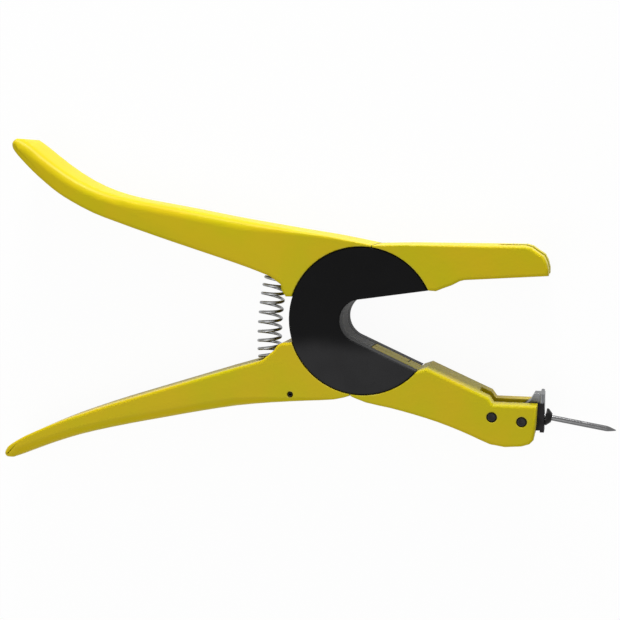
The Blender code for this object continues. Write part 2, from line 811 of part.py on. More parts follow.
# Anvil plate: a steel fork at the floor of its pocket, with two countersunk screws
fork_low = anvil_pocket_start + fit_gap
fork_high = anvil_pocket_end - fit_gap
fork_side = pocket_half - 2 * fit_gap
notch_half = slot_half + fit_gap
fork_points = (
    [(fork_low, -fork_side), (fork_high, -fork_side), (fork_high, -notch_half)]
    + arc(notch_half, math.radians(270), math.radians(90), (needle_slot_start, 0))
    + [(fork_high, notch_half), (fork_high, fork_side), (fork_low, fork_side)]
)
anvil_plate = outline_solid("anvil_plate", fork_points, anvil_plate_thickness / 2)
plate_face = anvil_pocket_depth - fit_gap - anvil_plate_thickness
anvil_plate.location.y = plate_face + anvil_plate_thickness / 2
anvil_plate.rotation_euler.x = math.radians(90)
finish_part(anvil_plate, steel, jaw_frame)
for name, side in (("front", 1), ("rear", -1)):
    place = (fork_low + anvil_screw_inset, 0, side * anvil_screw_spread)
    size = (small_screw_radius, small_head_radius, chamfer, plate_face)
    screw = turned(f"anvil_screw_{name}", screw_profile(*size, plate_face + small_screw_length))
    bore_profile = screw_profile(*size, plate_face + small_screw_length, fit_gap, fit_gap)
    bore = turned(f"anvil_bore_{name}", bore_profile)
    socket = rod(f"anvil_socket_{name}", socket_radius, 0, plate_face + socket_depth, 6)
    for shape in (screw, bore, socket):
        shape.location = place
        shape.rotation_euler.x = math.radians(-90)
    finish_part(screw, steel, jaw_frame)
    boolean(screw, finish_cutter(socket, jaw_frame))
    finish_cutter(bore, jaw_frame)
    boolean(anvil_plate, bore)
    boolean(anvil_arm, bore)

# Tag clip: a spring-steel fork that holds the female tag under the anvil plate
clip_low = clip_pocket_start + clip_play
clip_side = clip_width / 2
clip_inner = clip_side - clip_prong_width
clip_points = [
    (clip_low, -clip_side),
    (clip_low + clip_reach, -clip_side),
    (clip_low + clip_reach, -clip_inner),
    (clip_low + clip_base_length, -clip_inner),
    (clip_low + clip_base_length, clip_inner),
    (clip_low + clip_reach, clip_inner),
    (clip_low + clip_reach, clip_side),
    (clip_low, clip_side),
]
tag_clip = outline_solid("tag_clip", clip_points, clip_thickness / 2)
clip_face = clip_pocket_depth - fit_gap - clip_thickness
tag_clip.location.y = clip_face + clip_thickness / 2
tag_clip.rotation_euler.x = math.radians(90)
finish_part(tag_clip, steel, jaw_frame)

clip_head_top = clip_face - fit_gap
clip_screw_profile = [
    (0, small_screw_length),
    (small_screw_radius - chamfer, small_screw_length),
    (small_screw_radius, small_screw_length - chamfer),
    (small_screw_radius, clip_head_top),
    (small_head_radius, clip_head_top),
    (small_head_radius, clip_head_top - small_head_height),
    (0, clip_head_top - small_head_height),
]
clip_screw = turned("clip_screw", clip_screw_profile)
clip_bore = rod(
    "clip_bore",
    small_screw_radius + fit_gap,
    clip_head_top,
    small_screw_length + fit_gap,
)
for shape in (clip_screw, clip_bore):
    shape.location.x = clip_low + clip_base_length / 2
    shape.rotation_euler.x = math.radians(-90)
finish_part(clip_screw, steel, jaw_frame)
finish_cutter(clip_bore, jaw_frame)
boolean(tag_clip, clip_bore)
boolean(anvil_arm, clip_bore)

# Roll pin through the lower grip
roll_pin_place = (-roll_pin_share[0] * lower_reach, -roll_pin_share[1] * lower_drop)
roll_pin_profile = [
    (roll_pin_radius - chamfer, half - pin_inset),
    (roll_pin_radius, half - pin_inset - chamfer),
    (roll_pin_radius, pin_inset + chamfer - half),
    (roll_pin_radius - chamfer, pin_inset - half),
    (roll_pin_bore, pin_inset - half),
    (roll_pin_bore, half - pin_inset),
]
roll_pin = turned("roll_pin", roll_pin_profile, 16, closed=True)
roll_pin.location = (*roll_pin_place, 0)
finish_part(roll_pin, dark_steel, anvil_group)
roll_pin_hole = rod(
    "roll_pin_hole",
    roll_pin_radius + fit_gap,
    -half - overrun,
    half + overrun,
    at=roll_pin_place,
)
boolean(anvil_arm, finish_cutter(roll_pin_hole, anvil_group))

# Spring pockets in both grips
upper_seat = spread([spring_upper_seat_share], -upper_reach, upper_rise)[0]
lower_seat = spread([spring_lower_seat_share], -lower_reach, -lower_drop)[0]
upper_run = (math.sin(spring_upper_lean), math.cos(spring_upper_lean))
lower_run = (math.sin(spring_lower_lean), -math.cos(spring_lower_lean))
pocket_radius = spring_coil_radius + spring_wire_radius + spring_pocket_play
for name, seat, run, arm in (
    ("upper_spring_pocket", upper_seat, upper_run, needle_arm),
    ("lower_spring_pocket", lower_seat, lower_run, anvil_arm),
):
    pocket = rod(name, pocket_radius, -overrun, spring_pocket_depth)
    aim(pocket, seat, run)
    boolean(arm, finish_cutter(pocket, root))

# Return spring: one wire along a bowed line between the two pockets
end_leg = 2 * spring_wire_radius
seat_depth = spring_pocket_depth - fit_gap - spring_wire_radius - end_leg
line_start = Vector(upper_seat) + Vector(upper_run) * seat_depth
line_end = Vector(lower_seat) + Vector(lower_run) * seat_depth
line_nodes = (
    line_start,
    line_start - Vector(upper_run) * spring_bow,
    line_end - Vector(lower_run) * spring_bow,
    line_end,
)


def spring_line(share):
    """A point on the spring's bowed middle line and the line's direction there."""
    rest = 1 - share
    weights = (rest**3, 3 * rest**2 * share, 3 * rest * share**2, share**3)
    slopes = (-3 * rest**2, 3 * rest * (rest - 2 * share), 3 * share * (2 * rest - share), 3 * share**2)
    place = sum((w * p for w, p in zip(weights, line_nodes)), Vector((0, 0)))
    run = sum((w * p for w, p in zip(slopes, line_nodes)), Vector((0, 0)))
    return place, run.normalized()


def spring_point(share):
    """A point on the wire, its coil turning about the bowed line."""
    place, run = spring_line(share)
    turn = math.tau * (spring_start_turn + spring_turns * share)
    across = spring_coil_radius * math.cos(turn)
    up = spring_coil_radius * math.sin(turn)
    return Vector((place.x - run.y * across, place.y + run.x * across, up))


coil_count = spring_turns * spring_points_per_turn
coil = [spring_point(i / coil_count) for i in range(coil_count + 1)]


def spring_end(last, before, run):
    """A bend out of the coil and a straight leg square to the pocket's floor."""
    along = Vector((*run, 0))
    ahead = (last - before).normalized()
    corner = last + ahead * end_leg
    stop = corner + along * spring_wire_radius
    bend = [last.lerp(corner, t).lerp(corner.lerp(stop, t), t) for t in (0.25, 0.5, 0.75)]
    return bend + [stop, stop + along * end_leg]


wire = spring_end(coil[0], coil[1], upper_run)[::-1] + coil + spring_end(coil[-1], coil[-2], lower_run)
spring_curve = bpy.data.curves.new("return_spring", "CURVE")
spring_curve.dimensions = "3D"
spring_curve.bevel_depth = spring_wire_radius
spring_curve.bevel_resolution = 1
spring_curve.use_fill_caps = True
spring_spline = spring_curve.splines.new("POLY")
spring_spline.points.add(len(wire) - 1)
for point, place in zip(spring_spline.points, wire):
    point.co = (*place, 1)
spring_drawn = bpy.data.objects.new("spring_drawn", spring_curve)
bpy.context.scene.collection.objects.link(spring_drawn)
spring_graph = bpy.context.evaluated_depsgraph_get()
spring_mesh = bpy.data.meshes.new_from_object(spring_drawn.evaluated_get(spring_graph))
bpy.data.objects.remove(spring_drawn)
spring_bm = bmesh.new()
spring_bm.from_mesh(spring_mesh)
bpy.data.meshes.remove(spring_mesh)
bmesh.ops.remove_doubles(spring_bm, verts=spring_bm.verts, dist=merge_distance)
return_spring = mesh_object("return_spring", spring_bm)
finish_part(return_spring, steel, root)

least = min(
    (first - second).length
    for i, first in enumerate(wire)
    for second in wire[i + spring_points_per_turn // 2 + 2 :]
)
print(f"return_spring least gap to itself {(least - 2 * spring_wire_radius) * 1000:.2f} mm")

# The middle of the tool's underside becomes the origin
bpy.context.view_layer.update()
graph = bpy.context.evaluated_depsgraph_get()
corners = []
for obj in parts.objects:
    if obj.type == "MESH":
        shape = obj.evaluated_get(graph)
        corners += [shape.matrix_world @ vertex.co for vertex in shape.data.vertices]
low = [min(corner[axis] for corner in corners) for axis in range(3)]
high = [max(corner[axis] for corner in corners) for axis in range(3)]
root.location = (-(low[0] + high[0]) / 2, -(low[1] + high[1]) / 2, -low[2])
bpy.context.view_layer.update()
print("size mm", [round((b - a) * 1000, 2) for a, b in zip(low, high)])
for empty in (root, anvil_group, jaw_frame, carrier_group):
    print(empty.name, [round(v, 5) for v in empty.matrix_world.translation])
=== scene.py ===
"""The dressed ear tag applicator: two enamelled castings that cross in a C-shaped bearing, a return
spring between the grips, an anvil jaw above and a needle that flips out of the jaw below.

Metres. The tool lies on its side with its jaws towards +X, its upper grip towards +Y and its front
face up. Each section makes one piece, or a group of like pieces, in the order of assembly.
"""

import json
import math

import bmesh
import bpy
from mathutils import Matrix, Vector


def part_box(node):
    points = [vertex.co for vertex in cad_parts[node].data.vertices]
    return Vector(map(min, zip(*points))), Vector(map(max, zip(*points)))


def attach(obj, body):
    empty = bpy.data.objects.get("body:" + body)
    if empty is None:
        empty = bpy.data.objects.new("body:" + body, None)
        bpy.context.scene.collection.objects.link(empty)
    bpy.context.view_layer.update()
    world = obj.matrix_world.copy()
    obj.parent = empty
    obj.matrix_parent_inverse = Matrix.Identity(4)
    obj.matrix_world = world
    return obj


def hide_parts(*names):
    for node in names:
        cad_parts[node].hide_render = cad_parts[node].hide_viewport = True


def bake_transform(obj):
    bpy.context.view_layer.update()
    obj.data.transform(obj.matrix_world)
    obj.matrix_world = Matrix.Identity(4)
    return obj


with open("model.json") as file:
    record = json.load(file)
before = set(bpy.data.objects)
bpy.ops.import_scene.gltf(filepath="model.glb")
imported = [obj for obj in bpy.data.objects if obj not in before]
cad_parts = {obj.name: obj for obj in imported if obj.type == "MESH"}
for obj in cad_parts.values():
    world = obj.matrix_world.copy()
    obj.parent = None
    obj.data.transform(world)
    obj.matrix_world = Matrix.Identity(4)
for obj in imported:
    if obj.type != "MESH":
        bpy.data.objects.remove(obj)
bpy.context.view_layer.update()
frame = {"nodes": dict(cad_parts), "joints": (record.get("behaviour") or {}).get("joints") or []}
scene = bpy.context.scene
scene.view_settings.view_transform = "Standard"

# The viewpoint: a little over half a metre above the tool as it lies, moved towards the jaws and
# the upper grip, so that the tops of both jaws and the wall of the throat are just seen.
eye_place = Vector((0.1311, 0.0544, 0.5303))
eye_target = Vector((0.0090, -0.0009, 0.0245))
eye = bpy.data.cameras.new("eye")
eye.lens = 68.90
eye.sensor_width = 36.0
camera = bpy.data.objects.new("eye", eye)
scene.collection.objects.link(camera)
back = (eye_place - eye_target).normalized()
across = Vector((0, 1, 0)).cross(back).normalized()
camera.matrix_world = Matrix.Translation(eye_place) @ Matrix(
    (across, back.cross(across), back)
).transposed().to_4x4()
scene.camera = camera


# Bench and studio: a plain pale bench under the tool, a large soft lamp beyond the upper grip and
# almost level with it, a weak one above the lower grip, and a pale room. The bench looks white to
# the eye and in the steel, and keeps the tool's shadow.
bench_reach = 4.0
bench_gap = 0.0002
bench_share = 0.95
white = (1.0, 1.0, 1.0, 1.0)
bench_colour = (0.93, 0.93, 0.93, 1.0)
bench_roughness = 0.8
room_level = 0.43
lamps = (
    ("high_lamp", (0.05, 1.20, 0.08), 0.4, 31.0),
    ("low_lamp", (-0.25, -0.35, 0.95), 0.8, 4.2),
)


class Wire:
    """One socket of a material's nodes. Arithmetic on it adds the Math nodes."""

    def __init__(self, socket):
        self.socket = socket

    def node(self, kind, settings, values):
        """Add a node: its settings first, then the values or links of its sockets."""
        tree = self.socket.id_data
        made = tree.nodes.new(kind)
        for name, value in settings.items():
            setattr(made, name, value)
        for name, value in values.items():
            if isinstance(value, Wire):
                tree.links.new(value.socket, made.inputs[name])
            else:
                made.inputs[name].default_value = value
        return made

    def maths(self, operation, first, second):
        """A Math node on two numbers or wires."""
        made = self.node("ShaderNodeMath", {"operation": operation}, {0: first, 1: second})
        return Wire(made.outputs["Value"])

    def __add__(self, other):
        return self.maths("ADD", self, other)

    def __radd__(self, other):
        return self.maths("ADD", other, self)

    def __sub__(self, other):
        return self.maths("SUBTRACT", self, other)

    def __rsub__(self, other):
        return self.maths("SUBTRACT", other, self)

    def __mul__(self, other):
        return self.maths("MULTIPLY", self, other)

    def __rmul__(self, other):
        return self.maths("MULTIPLY", other, self)

    def clamped(self, low, high):
        """0 below the first number, 1 above the second, and a soft step between."""
        made = self.node(
            "ShaderNodeMapRange",
            {"interpolation_type": "SMOOTHSTEP"},
            {"Value": self, "From Min": low, "From Max": high},
        )
        return Wire(made.outputs["Result"])

    def cloud(self, size, detail=2.0, seed=0.0):
        """Even noise from 0 to 1, with features of about this size in metres."""
        made = self.node(
            "ShaderNodeTexNoise",
            {"noise_dimensions": "4D"},
            {"Vector": self, "Scale": 1 / size, "Detail": detail, "W": seed},
        )
        return Wire(made.outputs["Fac"])

    def stretched(self, run):
        """The coordinates times a number for each axis: below 1 it draws the pattern out."""
        made = self.node("ShaderNodeVectorMath", {"operation": "MULTIPLY"}, {0: self, 1: run})
        return Wire(made.outputs["Vector"])

    def blended(self, first, second):
        """A colour between two colours, by this wire."""
        made = self.node("ShaderNodeMix", {"data_type": "RGBA"}, {0: self, 6: first, 7: second})
        return Wire(made.outputs[2])


bench_mesh = bpy.data.meshes.new("bench")
bench_bm = bmesh.new()
bmesh.ops.create_grid(bench_bm, x_segments=1, y_segments=1, size=bench_reach)
bmesh.ops.translate(bench_bm, vec=(0, 0, -bench_gap), verts=bench_bm.verts)
bench_bm.to_mesh(bench_mesh)
bench_bm.free()
bench = bpy.data.objects.new("bench", bench_mesh)
scene.collection.objects.link(bench)
bench_finish = bpy.data.materials.new("pale_bench")
bench_finish.use_nodes = True
bench_nodes = bench_finish.node_tree
bench_shader = bench_nodes.nodes["Principled BSDF"]
bench_shader.inputs["Base Color"].default_value = bench_colour
bench_shader.inputs["Roughness"].default_value = bench_roughness
bench_shader.inputs["Specular IOR Level"].default_value = 0.0


def seen_directly(tree):
    """1 where the eye, a mirror or a glass sees the surface, 0 where it only lights the tool."""
    ray = tree.nodes.new("ShaderNodeLightPath")
    straight, mirrored, passed = (
        Wire(ray.outputs[name]) for name in ("Is Camera Ray", "Is Glossy Ray", "Is Transmission Ray")
    )
    return (straight + mirrored + passed).clamped(0.0, 1.0)


glow = bench_nodes.nodes.new("ShaderNodeEmission")
glow.inputs["Color"].default_value = white
glow.inputs["Strength"].default_value = 1.0
bench_blend = bench_nodes.nodes.new("ShaderNodeMixShader")
bench_nodes.links.new((seen_directly(bench_nodes) * bench_share).socket, bench_blend.inputs["Fac"])
bench_nodes.links.new(bench_shader.outputs["BSDF"], bench_blend.inputs[1])
bench_nodes.links.new(glow.outputs["Emission"], bench_blend.inputs[2])
bench_nodes.links.new(
    bench_blend.outputs["Shader"], bench_nodes.nodes["Material Output"].inputs["Surface"]
)
bench_mesh.materials.append(bench_finish)

room = bpy.data.worlds.new("pale_room")
room.use_nodes = True
room_nodes = room.node_tree
room_air = room_nodes.nodes["Background"]
room_air.inputs["Color"].default_value = white
room_strength = seen_directly(room_nodes) * (1 - room_level) + room_level
room_nodes.links.new(room_strength.socket, room_air.inputs["Strength"])
scene.world = room

for lamp_name, lamp_place, lamp_side, lamp_power in lamps:
    lamp_light = bpy.data.lights.new(lamp_name, "AREA")
    lamp_light.shape = "SQUARE"
    lamp_light.size = lamp_side
    lamp_light.energy = lamp_power
    lamp = bpy.data.objects.new(lamp_name, lamp_light)
    lamp.location = lamp_place
    lamp.rotation_euler = Vector(lamp_place).to_track_quat("Z", "Y").to_euler()
    scene.collection.objects.link(lamp)


# The two arms: aluminium castings, one from the upper grip to the lower jaw and one from the lower
# grip to the upper jaw, halved where they cross. Tumbled smooth, then stoved in yellow enamel.
bearing = Vector(frame["joints"][0]["pos_m"])
enamel_green = (0.495, 0.430, 0.0035, 1.0)
enamel_warm = (0.555, 0.415, 0.0060, 1.0)
enamel_thin = (0.640, 0.560, 0.1300, 1.0)
enamel_grime = (0.200, 0.140, 0.0120, 1.0)
enamel_specular = 0.07
enamel_roughness = 0.33
enamel_rim = 0.0009
rim_samples = 6
rim_range = (0.004, 0.09)
tone_size = 0.030
tone_range = (0.32, 0.68)
chip_size = 0.0022
chip_range = (0.42, 0.62)
chip_share = 0.55
dust_size = 0.0009
dust_range = (0.73, 0.80)
dust_share = 0.5
peel_size = 0.0016
wave_size = 0.0060
gloss_size = 0.012
enamel_depth = 0.00009
parting_height = 0.0125
parting_width = 0.0004
merge_gap = 0.000002
flat_turn = math.radians(0.4)
arm_crease = math.radians(35.0)


def plain_finish(name, metallic, specular):
    """A new material: its Principled shader, and a wire with the piece's own coordinates."""
    made = bpy.data.materials.new(name)
    made.use_nodes = True
    shader = made.node_tree.nodes["Principled BSDF"]
    shader.inputs["Metallic"].default_value = metallic
    shader.inputs["Specular IOR Level"].default_value = specular
    coordinates = made.node_tree.nodes.new("ShaderNodeTexCoord")
    return made, shader, Wire(coordinates.outputs["Object"])


def fed(shader, values):
    """Lead wires into a shader's sockets."""
    for name, wire in values.items():
        shader.id_data.links.new(wire.socket, shader.inputs[name])


def rim_mask(place, radius):
    """1 on a surface that turns over within this radius, 0 on flat ground, and the soft normal."""
    bevel = place.node("ShaderNodeBevel", {"samples": rim_samples}, {"Radius": radius})
    rounded = Wire(bevel.outputs["Normal"])
    ground = Wire(place.node("ShaderNodeNewGeometry", {}, {}).outputs["Normal"])
    match = place.node("ShaderNodeVectorMath", {"operation": "DOT_PRODUCT"}, {0: rounded, 1: ground})
    return (1 - Wire(match.outputs["Value"])).clamped(*rim_range), rounded


def dented(place, height, depth, normal):
    """A Bump node of this depth in metres, on a soft normal."""
    values = {"Height": height, "Distance": depth, "Strength": 1.0, "Normal": normal}
    return Wire(place.node("ShaderNodeBump", {}, values).outputs["Normal"])


def enamel():
    """Glossy stoved enamel: slow change of tone, orange peel, thin edges, a faint parting line."""
    made, shader, place = plain_finish("yellow_enamel", 0.0, enamel_specular)
    rims, soft = rim_mask(place, enamel_rim)
    tone = place.cloud(tone_size, 3.0).clamped(*tone_range)
    rubbed = rims * place.cloud(chip_size, 4.0, 3.0).clamped(*chip_range)
    dust = place.cloud(dust_size, 3.0, 7.0).clamped(*dust_range)
    colour = tone.blended(enamel_green, enamel_warm)
    colour = (rubbed * chip_share).blended(colour, enamel_thin)
    colour = (dust * dust_share).blended(colour, enamel_grime)
    height = Wire(place.node("ShaderNodeSeparateXYZ", {}, {"Vector": place}).outputs["Z"])
    off_middle = height - parting_height
    off_line = off_middle.maths("ABSOLUTE", off_middle, 0.0)
    parting = 1 - off_line.clamped(parting_width / 2, parting_width)
    peel = place.cloud(peel_size, 2.0, 1.0) * 0.45 + place.cloud(wave_size, 1.0, 2.0) * 0.4
    gloss = place.cloud(gloss_size, 3.0, 5.0)
    fed(
        shader,
        {
            "Base Color": colour,
            "Roughness": enamel_roughness + 0.10 * gloss + 0.18 * rubbed,
            "Normal": dented(place, peel + parting * 0.4 - dust * 0.25, enamel_depth, soft),
        },
    )
    return made


def dressed(node, finish, body):
    """A merged copy of a CAD node, smooth over its rolled rims and flat on its flat faces."""
    bm = bmesh.new()
    bm.from_mesh(frame["nodes"][node].data)
    bmesh.ops.remove_doubles(bm, verts=bm.verts, dist=merge_gap)
    bmesh.ops.dissolve_limit(
        bm, angle_limit=flat_turn, verts=bm.verts, edges=bm.edges, delimit={"NORMAL"}
    )
    mesh = bpy.data.meshes.new(node + "_dressed")
    mesh.from_pydata(
        [vert.co.copy() for vert in bm.verts],
        [],
        [[vert.index for vert in face.verts] for face in bm.faces],
    )
    bm.free()
    mesh.materials.append(finish)
    mesh.shade_smooth()
    mesh.set_sharp_from_angle(angle=arm_crease)
    piece = bpy.data.objects.new(node + "_dressed", mesh)
    scene.collection.objects.link(piece)
    even = piece.modifiers.new("even_faces", "WEIGHTED_NORMAL")
    even.keep_sharp = True
    even.weight = 100
    settle(piece)
    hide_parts(node)
    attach(piece, body)


def settle(piece):
    """Make what a piece's modifiers give its plain mesh, and take the modifiers off."""
    graph = bpy.context.evaluated_depsgraph_get()
    mesh = bpy.data.meshes.new_from_object(piece.evaluated_get(graph))
    piece.modifiers.clear()
    old = piece.data
    piece.data = mesh
    bpy.data.meshes.remove(old)


yellow = enamel()
dressed("needle_arm", yellow, "needle_side")
dressed("anvil_arm", yellow, "anvil_side")


# The cheeks: two C-shaped plates of black nylon, let into both faces of the crossing. Moulded with
# a fine spark-eroded grain. A painted sheen makes them lighter towards the lower grip's side.
nylon_deep = (0.0022, 0.0022, 0.0024, 1.0)
# The lighter colour stands for both worn nylon and painted sheen.
nylon_worn_and_sheen = (0.0250, 0.0250, 0.0260, 1.0)
nylon_specular = 0.05
nylon_rim = 0.0008
nylon_depth = 0.00006
flow_size = 0.016
flow_range = (0.35, 0.70)
scuff_size = 0.0011
scuff_range = (0.62, 0.74)
scuff_run = (1.0, 0.18, 1.0)
grain_size = 0.00035
# Where the painted sheen on the nylon begins, and how softly it comes in.
sheen_line = -0.0160
sheen_blend = 0.0060


def height_above(place, line, blend):
    """0 on the lower grip's side of a line across the tool, 1 beyond it, and soft between."""
    across_tool = Wire(place.node("ShaderNodeSeparateXYZ", {}, {"Vector": place}).outputs["Y"])
    return across_tool.clamped(line - blend, line + blend)


def nylon(name, deep, worn_and_sheen, roughness):
    """Moulded nylon: fine grain, faint flow marks, and a painted sheen towards the lower grip's
    side.
    """
    made, shader, place = plain_finish(name, 0.0, nylon_specular)
    rims, soft = rim_mask(place, nylon_rim)
    flow = place.cloud(flow_size, 3.0, 4.0)
    scuffs = place.stretched(scuff_run).cloud(scuff_size, 3.0, 9.0).clamped(*scuff_range)
    grain = place.cloud(grain_size, 2.0, 2.0)
    # Painted sheen: the nylon is painted lighter towards the lower grip's side; it is added to the
    # real wear below.
    painted_sheen = (1 - height_above(place, sheen_line, sheen_blend)) * (0.55 + 0.6 * flow)
    wear_and_sheen = flow.clamped(*flow_range) * 0.12 + painted_sheen + rims * 0.3 + scuffs * 0.12
    fed(
        shader,
        {
            "Base Color": wear_and_sheen.clamped(0.0, 1.0).blended(deep, worn_and_sheen),
            "Roughness": roughness + 0.12 * (flow - 0.5) + 0.10 * scuffs - 0.08 * rims,
            "Normal": dented(place, grain + flow * 0.6 - scuffs * 0.3, nylon_depth, soft),
        },
    )
    return made


black = nylon("black_nylon", nylon_deep, nylon_worn_and_sheen, roughness=0.46)
for cheek in ("front_cheek", "rear_cheek"):
    dressed(cheek, black, "needle_side")


# The throat hub: a bush of grey nylon between the cheeks, whose inner wall is the end of the mouth.
# Moulded like the cheeks, in a grey that doesn't show wear, with the same painted sheen.
hub_deep = (0.105, 0.105, 0.108, 1.0)
# The lighter grey stands for both wear and painted sheen.
hub_worn_and_sheen = (0.230, 0.230, 0.234, 1.0)
grey = nylon("grey_nylon", hub_deep, hub_worn_and_sheen, roughness=0.52)
dressed("throat_hub", grey, "needle_side")


# The cheek screws: four countersunk steel screws with hexagon sockets, through the rear cheek and
# the needle arm into the front cheek. Each was driven until it held, so no two sockets line up.
steel_ground = (0.230, 0.233, 0.238, 1.0)
steel_bright = (0.420, 0.425, 0.430, 1.0)
steel_stain = (0.120, 0.115, 0.110, 1.0)
steel_specular = 0.5
steel_rim = 0.0003
steel_depth = 0.00002
line_size = 0.00022
patch_size = 0.0045
patch_range = (0.45, 0.72)
patch_share = 0.30
spot_size = 0.0012
spot_range = (0.66, 0.76)
spot_share = 0.35
turned_crease = math.radians(32.0)
socket_share = 0.52
socket_depth_share = 0.55
screw_end = 0.0003
screw_seed = 4
screw_sides = 36
countersunk_radius = 0.0013
cheek_head_radius = 0.0022
cheek_head_rim = 0.0003
cheek_screw_length = 0.0232
cheek_screw_count = 4


def steel(name, run, roughness, ground=steel_ground, bright=steel_bright, stain=steel_stain):
    """Bare steel, drawn or ground along a run: fine lines, dull patches, bright rims."""
    made, shader, place = plain_finish(name, 1.0, steel_specular)
    rims, soft = rim_mask(place, steel_rim)
    lines = place.stretched(run).cloud(line_size, 2.0, 6.0)
    patches = place.cloud(patch_size, 3.0, 8.0).clamped(*patch_range)
    spots = place.cloud(spot_size, 3.0, 5.0).clamped(*spot_range)
    colour = (lines * 0.6 + rims * 0.5).clamped(0.0, 1.0).blended(ground, bright)
    stained = (patches * patch_share + spots * spot_share).clamped(0.0, 1.0)
    colour = stained.blended(colour, stain)
    fed(
        shader,
        {
            "Base Color": colour,
            "Roughness": roughness + 0.14 * (lines - 0.5) + 0.14 * patches + 0.10 * spots,
            "Normal": dented(place, lines - spots * 0.4, steel_depth, soft),
        },
    )
    return made


def ring_of(bm, radius, height, sides, corners=0):
    """A ring of points, round or with flats between this many corners."""
    made = []
    for step in range(sides):
        turn = math.tau * step / sides
        reach = radius
        if corners:
            off = (turn + math.pi / corners) % (math.tau / corners) - math.pi / corners
            reach = radius * math.cos(math.pi / corners) / math.cos(abs(off) - math.pi / corners)
        made.append(bm.verts.new((reach * math.cos(turn), reach * math.sin(turn), height)))
    return made


def lathed(name, rings, sides, finish, close=True):
    """A turned piece about Z from rings of (radius, height, corners), from the top down."""
    bm = bmesh.new()
    made = [ring_of(bm, radius, height, sides, corners) for radius, height, corners in rings]
    pairs = list(zip(made, made[1:]))
    if not close:
        pairs.append((made[-1], made[0]))
    for upper, lower in pairs:
        for step in range(sides):
            ahead = (step + 1) % sides
            bm.faces.new((upper[step], lower[step], lower[ahead], upper[ahead]))
    if close:
        bm.faces.new(made[0])
        bm.faces.new(made[-1][::-1])
    bmesh.ops.recalc_face_normals(bm, faces=bm.faces)
    mesh = bpy.data.meshes.new(name)
    bm.to_mesh(mesh)
    bm.free()
    mesh.materials.append(finish)
    mesh.shade_smooth()
    mesh.set_sharp_from_angle(angle=turned_crease)
    return bpy.data.objects.new(name, mesh)


def countersunk(name, radius, head, rim, length, finish):
    """A countersunk screw along -Z: its head's face at z = 0, with a hexagon socket."""
    socket = socket_share * head
    neck = rim + head - radius
    rings = [
        (socket * 0.93, -socket_depth_share * head, 6),
        (socket * 0.97, -0.05 * head, 6),
        (socket * 1.04, 0, 6),
        (head * 0.93, 0, 0),
        (head * 0.99, -0.03 * head, 0),
        (head, -0.07 * head, 0),
        (head, -rim, 0),
        (radius, -neck, 0),
        (radius, screw_end - length, 0),
        (radius - screw_end, -length, 0),
    ]
    return lathed(name, rings, screw_sides, finish)


def placed_tree():
    """Nodes that set one small piece at each of some points, each turned at random."""
    tree = bpy.data.node_groups.new("set_in_row", "GeometryNodeTree")
    for name, kind in (
        ("Places", "NodeSocketGeometry"),
        ("Piece", "NodeSocketObject"),
        ("Facing", "NodeSocketVector"),
        ("Spin", "NodeSocketFloat"),
        ("Finish", "NodeSocketMaterial"),
    ):
        tree.interface.new_socket(name=name, in_out="INPUT", socket_type=kind)
    tree.interface.new_socket(name="Pieces", in_out="OUTPUT", socket_type="NodeSocketGeometry")
    names = {
        "given": "NodeGroupInput",
        "points": "GeometryNodeMeshToPoints",
        "source": "GeometryNodeObjectInfo",
        "set": "GeometryNodeInstanceOnPoints",
        "chance": "FunctionNodeRandomValue",
        "about": "ShaderNodeCombineXYZ",
        "turned": "GeometryNodeRotateInstances",
        "whole": "GeometryNodeRealizeInstances",
        "painted": "GeometryNodeSetMaterial",
        "made": "NodeGroupOutput",
    }
    nodes = {name: tree.nodes.new(kind) for name, kind in names.items()}
    nodes["chance"].data_type = "FLOAT"
    nodes["chance"].inputs["Seed"].default_value = screw_seed
    spin_top = nodes["chance"].inputs[3]
    links = (
        (nodes["given"].outputs["Places"], nodes["points"].inputs["Mesh"]),
        (nodes["given"].outputs["Piece"], nodes["source"].inputs["Object"]),
        (nodes["points"].outputs["Points"], nodes["set"].inputs["Points"]),
        (nodes["source"].outputs["Geometry"], nodes["set"].inputs["Instance"]),
        (nodes["given"].outputs["Facing"], nodes["set"].inputs["Rotation"]),
        (nodes["given"].outputs["Spin"], spin_top),
        (nodes["chance"].outputs[1], nodes["about"].inputs["Z"]),
        (nodes["set"].outputs["Instances"], nodes["turned"].inputs["Instances"]),
        (nodes["about"].outputs["Vector"], nodes["turned"].inputs["Rotation"]),
        (nodes["turned"].outputs["Instances"], nodes["whole"].inputs["Geometry"]),
        (nodes["whole"].outputs["Geometry"], nodes["painted"].inputs["Geometry"]),
        (nodes["given"].outputs["Finish"], nodes["painted"].inputs["Material"]),
        (nodes["painted"].outputs["Geometry"], nodes["made"].inputs["Pieces"]),
    )
    for start, end in links:
        tree.links.new(start, end)
    return tree


def grown(piece, tree, values):
    """Run a tree of nodes on a piece with these inputs, and keep the plain mesh."""
    step = piece.modifiers.new(tree.name, "NODES")
    step.node_group = tree
    for item in tree.interface.items_tree:
        if item.in_out == "INPUT" and item.name in values:
            step[item.identifier] = values[item.name]
    settle(piece)


def set_pieces(name, source, places, facing, finish, body, nodes):
    """One mesh of like small pieces at their places, in place of their CAD nodes."""
    mesh = bpy.data.meshes.new(name)
    mesh.from_pydata(places, [], [])
    piece = bpy.data.objects.new(name, mesh)
    scene.collection.objects.link(piece)
    sizes = {"Piece": source, "Facing": facing, "Spin": math.tau, "Finish": finish}
    grown(piece, row_of_pieces, sizes)
    bpy.data.objects.remove(source)
    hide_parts(*nodes)
    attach(piece, body)


def middle(node):
    """The middle of a CAD node's box."""
    low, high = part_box(node)
    return (low + high) / 2


